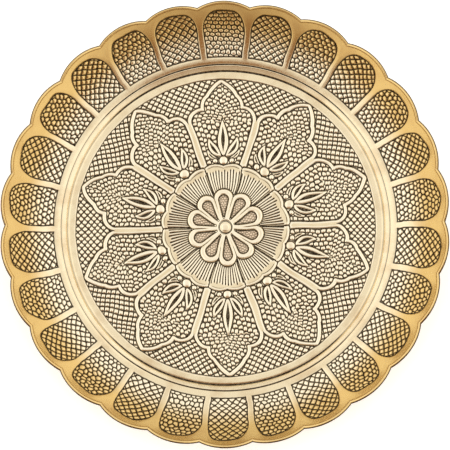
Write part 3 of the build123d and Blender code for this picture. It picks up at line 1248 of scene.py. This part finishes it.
@dataclass(frozen=True)
class AntiquedBrass:
    """Pressed brass sheet, blackened all over and then polished, so that the dark stays in the hollows.

    The eye gets a mirror-bright pale yellow on what stands up, partly the polish of wear and partly a painted
    highlight, softened by fine rubbing, a duller brown-black in every line, and a deeper gold towards the
    edge, which is a painted darker reflection of the steeper flange.
    """

    pale: str = "f0dfbb"
    # the deeper gold towards the edge is a painted reflection of the steeper flange
    deep_gold_painted_reflection: str = "d9b673"
    # colours of what stands up: partly the polish of wear, partly a painted highlight
    worn: str = "fff4da"
    worn_gold_highlight: str = "f0d296"
    tarnish: str = "b98f58"
    dark: str = "241502"
    copper: str = "efd3b8"
    roughness: float = 0.22
    dark_roughness: float = 0.6
    # radii between which the metal turns from pale to the deeper gold of a painted reflection, and sizes of
    # the unevenness, all in mm
    painted_gold_from: float = 121.0
    painted_gold_full: float = 139.0
    cloud_size: float = 16.0
    grain_size: float = 1.1
    dent_size: float = 2.6

    def material(self) -> bpy.types.Material:
        """Makes the finish: bright yellow metal on every ridge, partly the polish of wear and partly a
        painted highlight, brown-black in every line.

        Returns:
            The material. It reads the mesh's attributes cavity, broad and copper.
        """
        made, tree = new_material("antiqued_polished_brass")
        place = node(tree, "ShaderNodeTexCoord")
        scaled = node(tree, "ShaderNodeVectorMath", {"operation": "SCALE", "Scale": 1.0 / MM},
                      {0: place.outputs["Object"]})
        split = node(tree, "ShaderNodeSeparateXYZ", {}, {0: scaled.outputs[0]})
        flat = node(tree, "ShaderNodeCombineXYZ", {}, {0: split.outputs[0], 1: split.outputs[1]})
        radius = node(tree, "ShaderNodeVectorMath", {"operation": "LENGTH"}, {0: flat.outputs[0]})
        # zone: how far out into the band of painted deeper-gold reflection a point lies
        zone = node(tree, "ShaderNodeMapRange", {"interpolation_type": "SMOOTHSTEP", 1: self.painted_gold_from,
                                                 2: self.painted_gold_full}, {0: radius.outputs["Value"]})
        # this attribute holds the relief's hollows and ridges for patina and wear, plus the painted highlight
        # and shade of the bead and the painted shade of the fold lines
        cavity_and_painted_light = node(tree, "ShaderNodeAttribute", {"attribute_name": "cavity_and_painted_light"})
        broad = node(tree, "ShaderNodeAttribute", {"attribute_name": "broad"})
        copper = node(tree, "ShaderNodeAttribute", {"attribute_name": "copper"})
        clouds = node(tree, "ShaderNodeTexNoise", {"Scale": 1.0 / self.cloud_size, "Detail": 3.0,
                                                    "Roughness": 0.6}, {"Vector": scaled.outputs[0]})
        grain = node(tree, "ShaderNodeTexNoise", {"Scale": 1.0 / self.grain_size, "Detail": 2.0,
                                                   "Roughness": 0.6}, {"Vector": scaled.outputs[0]})
        # pale brass turning to a deeper gold towards the edge: painted reflection
        brass = node(tree, "ShaderNodeMix", {"data_type": "RGBA", 6: linear(self.pale), 7: linear(self.deep_gold_painted_reflection)},
                     {0: zone.outputs[0]})
        cloud_amount = node(tree, "ShaderNodeMapRange", {1: 0.45, 2: 0.75, 3: 0.0, 4: 0.4},
                            {0: clouds.outputs["Fac"]})
        aged = node(tree, "ShaderNodeMix", {"data_type": "RGBA", 7: linear(self.tarnish)},
                    {0: cloud_amount.outputs[0], 6: brass.outputs[2]})
        # ridges take a paler, brighter colour, partly wear and partly painted highlight, less so in the band
        # of painted deeper gold
        peak = node(tree, "ShaderNodeMath", {"operation": "MULTIPLY_ADD", 1: -0.1},
                    {0: zone.outputs[0], 2: cavity_and_painted_light.outputs["Fac"]})
        ridge = node(tree, "ShaderNodeMapRange", {"interpolation_type": "SMOOTHSTEP", 1: 0.05, 2: 0.16,
                                                  4: 0.9}, {0: peak.outputs[0]})
        wear_and_highlight = node(tree, "ShaderNodeMix", {"data_type": "RGBA", 6: linear(self.worn),
                                              7: linear(self.worn_gold_highlight)}, {0: zone.outputs[0]})
        bright = node(tree, "ShaderNodeMix", {"data_type": "RGBA"},
                      {0: ridge.outputs[0], 6: aged.outputs[2], 7: wear_and_highlight.outputs[2]})
        copper_amount = node(tree, "ShaderNodeMath", {"operation": "MULTIPLY", 1: 0.75},
                             {0: copper.outputs["Fac"]})
        toned = node(tree, "ShaderNodeMix", {"data_type": "RGBA", 7: linear(self.copper)},
                     {0: copper_amount.outputs[0], 6: bright.outputs[2]})
        line = node(tree, "ShaderNodeMapRange", {"interpolation_type": "SMOOTHSTEP", 1: -0.003, 2: -0.06},
                    {0: cavity_and_painted_light.outputs["Fac"]})
        hollow = node(tree, "ShaderNodeMapRange", {"interpolation_type": "SMOOTHSTEP", 1: -0.08, 2: -0.42,
                                                   4: 0.6}, {0: broad.outputs["Fac"]})
        dirt = node(tree, "ShaderNodeMath", {"operation": "MAXIMUM"},
                    {0: line.outputs[0], 1: hollow.outputs[0]})
        patchy = node(tree, "ShaderNodeMapRange", {1: 0.3, 2: 0.62, 3: 0.8, 4: 1.0},
                      {0: grain.outputs["Fac"]})
        wiped = node(tree, "ShaderNodeMapRange", {3: 1.0, 4: 0.12}, {0: copper.outputs["Fac"]})
        kept = node(tree, "ShaderNodeMath", {"operation": "MULTIPLY"},
                    {0: dirt.outputs[0], 1: wiped.outputs[0]})
        patina = node(tree, "ShaderNodeMath", {"operation": "MULTIPLY", "use_clamp": True},
                      {0: kept.outputs[0], 1: patchy.outputs[0]})
        colour = node(tree, "ShaderNodeMix", {"data_type": "RGBA", 7: linear(self.dark)},
                      {0: patina.outputs[0], 6: toned.outputs[2]})
        worn = node(tree, "ShaderNodeMapRange", {1: 0.3, 2: 0.7, 3: self.roughness - 0.04,
                                                 4: self.roughness + 0.07}, {0: grain.outputs["Fac"]})
        rough = node(tree, "ShaderNodeMix", {"data_type": "FLOAT", 3: self.dark_roughness},
                     {0: patina.outputs[0], 2: worn.outputs[0]})
        metal = node(tree, "ShaderNodeMapRange", {1: 0.0, 2: 1.0, 3: 1.0, 4: 0.85}, {0: patina.outputs[0]})
        dents = node(tree, "ShaderNodeTexNoise", {"Scale": 1.0 / self.dent_size, "Detail": 2.0,
                                                   "Roughness": 0.5}, {"Vector": scaled.outputs[0]})
        bump = node(tree, "ShaderNodeBump", {"Strength": 0.35, "Distance": 0.00012},
                    {"Height": dents.outputs["Fac"]})
        shader = node(tree, "ShaderNodeBsdfPrincipled", {}, {
            "Base Color": colour.outputs[2], "Roughness": rough.outputs[0], "Metallic": metal.outputs[0],
            "Normal": bump.outputs[0]})
        node(tree, "ShaderNodeOutputMaterial", {}, {"Surface": shader.outputs[0]})
        return made


@dataclass(frozen=True)
class DrawnWire:
    """Hard-drawn brass wire, unpolished, which gives the eye a dull and slightly mottled brown-yellow."""

    colour: str = "c79a52"
    tarnish: str = "9c7438"
    roughness: float = 0.4
    # marks of the die, in a metre
    marks: float = 900.0

    def material(self) -> bpy.types.Material:
        """Makes the finish of the wire that the edge is curled over.

        Returns:
            The material.
        """
        made, tree = new_material("drawn_brass_wire")
        place = node(tree, "ShaderNodeTexCoord")
        noise = node(tree, "ShaderNodeTexNoise", {"Scale": self.marks, "Detail": 2.0},
                     {"Vector": place.outputs["Object"]})
        rough = node(tree, "ShaderNodeMapRange", {3: self.roughness - 0.08, 4: self.roughness + 0.12},
                     {0: noise.outputs["Fac"]})
        tint = node(tree, "ShaderNodeMix", {"data_type": "RGBA", 6: linear(self.colour),
                                            7: linear(self.tarnish)}, {0: noise.outputs["Fac"]})
        shader = node(tree, "ShaderNodeBsdfPrincipled", {"Metallic": 1.0},
                      {"Roughness": rough.outputs[0], "Base Color": tint.outputs[2]})
        node(tree, "ShaderNodeOutputMaterial", {}, {"Surface": shader.outputs[0]})
        return made


@dataclass(frozen=True)
class PaleFloor:
    """Matt white painted board, lit from behind as well, which leaves almost no shadow under the tray."""

    colour: str = "f7f6f3"
    roughness: float = 0.9
    glow: float = 0.45

    def material(self) -> bpy.types.Material:
        """Makes the finish of the floor under the tray.

        Returns:
            The material.
        """
        made, tree = new_material("matt_white_floor")
        shader = node(tree, "ShaderNodeBsdfPrincipled", {
            "Base Color": linear(self.colour), "Roughness": self.roughness,
            "Emission Color": (1.0, 1.0, 1.0, 1.0), "Emission Strength": self.glow})
        node(tree, "ShaderNodeOutputMaterial", {}, {"Surface": shader.outputs[0]})
        return made


# ---------------------------------------------------------------- the studio


@dataclass
class Studio:
    """A pale floor, soft light from a white tent that is open at the front, and the camera."""

    rim_height: float
    width: float = 0.30416
    distance: float = 3.0
    lean_x: float = 0.0290
    lean_y: float = -0.1240
    aim_x: float = 0.00035
    aim_y: float = -0.00128
    spin: float = -0.3
    strength: float = 1.0
    side_gain: float = 1.3
    white: tuple[float, float, float] = (1.0, 0.985, 0.96)
    room: tuple[float, float, float, float] = (0.32, 0.158, 0.05, 1.0)
    floor_half: float = 6.0
    floor_gap: float = 0.0003

    def floor(self) -> None:
        """Lays a wide floor a hair under the tray."""
        half, level = self.floor_half, -self.floor_gap
        mesh = bpy.data.meshes.new("studio_floor")
        corners = [(-half, -half, level), (half, -half, level), (half, half, level), (-half, half, level)]
        mesh.from_pydata(corners, [], [(0, 1, 2, 3)])
        plane = bpy.data.objects.new("studio_floor", mesh)
        plane.data.materials.append(PaleFloor().material())
        bpy.context.scene.collection.objects.link(plane)

    def tent(self) -> None:
        """Hangs the light: white all round and brighter at the sides, with a brown room seen in front."""
        world = bpy.data.worlds.new("white_tent")
        world.use_nodes = True
        tree = world.node_tree
        tree.nodes.clear()
        place = node(tree, "ShaderNodeTexCoord")
        heading = node(tree, "ShaderNodeSeparateXYZ", {}, {0: place.outputs["Generated"]})
        level = node(tree, "ShaderNodeCombineXYZ", {}, {0: heading.outputs[0], 1: heading.outputs[1]})
        compass = node(tree, "ShaderNodeVectorMath", {"operation": "NORMALIZE"}, {0: level.outputs[0]})
        facing = node(tree, "ShaderNodeVectorMath", {"operation": "DOT_PRODUCT", 1: (0.0, -1.0, 0.0)},
                      {0: compass.outputs[0]})
        wide = node(tree, "ShaderNodeMapRange", {"interpolation_type": "SMOOTHSTEP", 1: 0.62, 2: 0.95},
                    {0: facing.outputs["Value"]})
        high = node(tree, "ShaderNodeMapRange", {"interpolation_type": "SMOOTHSTEP", 1: 0.995, 2: 0.93},
                    {0: heading.outputs[2]})
        low = node(tree, "ShaderNodeMapRange", {"interpolation_type": "SMOOTHSTEP", 1: 0.0, 2: 0.85, 3: 0.3},
                   {0: heading.outputs[2]})
        span = node(tree, "ShaderNodeMath", {"operation": "MULTIPLY"},
                    {0: high.outputs[0], 1: low.outputs[0]})
        room = node(tree, "ShaderNodeMath", {"operation": "MULTIPLY"},
                    {0: wide.outputs[0], 1: span.outputs[0]})
        across = node(tree, "ShaderNodeMath", {"operation": "ABSOLUTE"}, {0: heading.outputs[0]})
        sides = node(tree, "ShaderNodeMapRange", {"interpolation_type": "SMOOTHSTEP", 1: 0.2, 2: 0.5,
                                                  3: self.strength,
                                                  4: self.strength * self.side_gain},
                     {0: across.outputs[0]})
        white = node(tree, "ShaderNodeVectorMath", {"operation": "SCALE", 0: self.white},
                     {"Scale": sides.outputs[0]})
        colour = node(tree, "ShaderNodeMix", {"data_type": "RGBA", 7: self.room},
                      {0: room.outputs[0], 6: white.outputs[0]})
        light = node(tree, "ShaderNodeBackground", {}, {"Color": colour.outputs[2]})
        node(tree, "ShaderNodeOutputWorld", {}, {"Surface": light.outputs[0]})
        bpy.context.scene.world = world

    def camera(self) -> None:
        """Hangs a long lens above the tray, leaning a little to the front and to +X."""
        data = bpy.data.cameras.new("camera")
        data.lens = data.sensor_width * self.distance / self.width
        turn = math.radians(self.spin)
        back = Vector((self.lean_x, self.lean_y, 1.0)).normalized()
        right = Vector((-math.sin(turn), math.cos(turn), 0.0)).cross(back).normalized()
        up = back.cross(right)
        spot = Vector((self.aim_x, self.aim_y, self.rim_height)) + back * self.distance
        camera = bpy.data.objects.new("camera", data)
        rows = [(right[i], up[i], back[i], spot[i]) for i in range(3)] + [(0.0, 0.0, 0.0, 1.0)]
        camera.matrix_world = Matrix(rows)
        bpy.context.scene.collection.objects.link(camera)
        bpy.context.scene.camera = camera

    def build(self) -> None:
        """Sets up the floor, the light and the camera."""
        self.floor()
        self.tent()
        self.camera()
        bpy.context.scene.view_settings.view_transform = "Standard"


# ---------------------------------------------------------------- the whole tray


def main() -> None:
    """Builds the tray, dresses it and sets up the studio."""
    logging.basicConfig(level=logging.INFO, format="%(name)s %(message)s")
    _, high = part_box("tray_body")
    section = Section(tip_radius=high.y / MM)
    rim = ScallopedRim(section)
    petals = FloorPetals()
    relief = Relief(FlangePanels(section, rim), petals, FlutedDisc(petals), Rosette())
    tray = PressedTray(section, rim, relief)
    sheet = tray.build()
    tray.dress(sheet)
    LOG.info("pressed_tray: %d vertices, %d faces", len(sheet.data.vertices), len(sheet.data.polygons))
    wire = RimWire().dress()
    LOG.info("rim_wire: %d vertices", len(wire.data.vertices))
    Studio(rim_height=high.z - MM).build()
    LOG.info("studio: floor, light and camera")


if __name__ == "__main__":
    main()
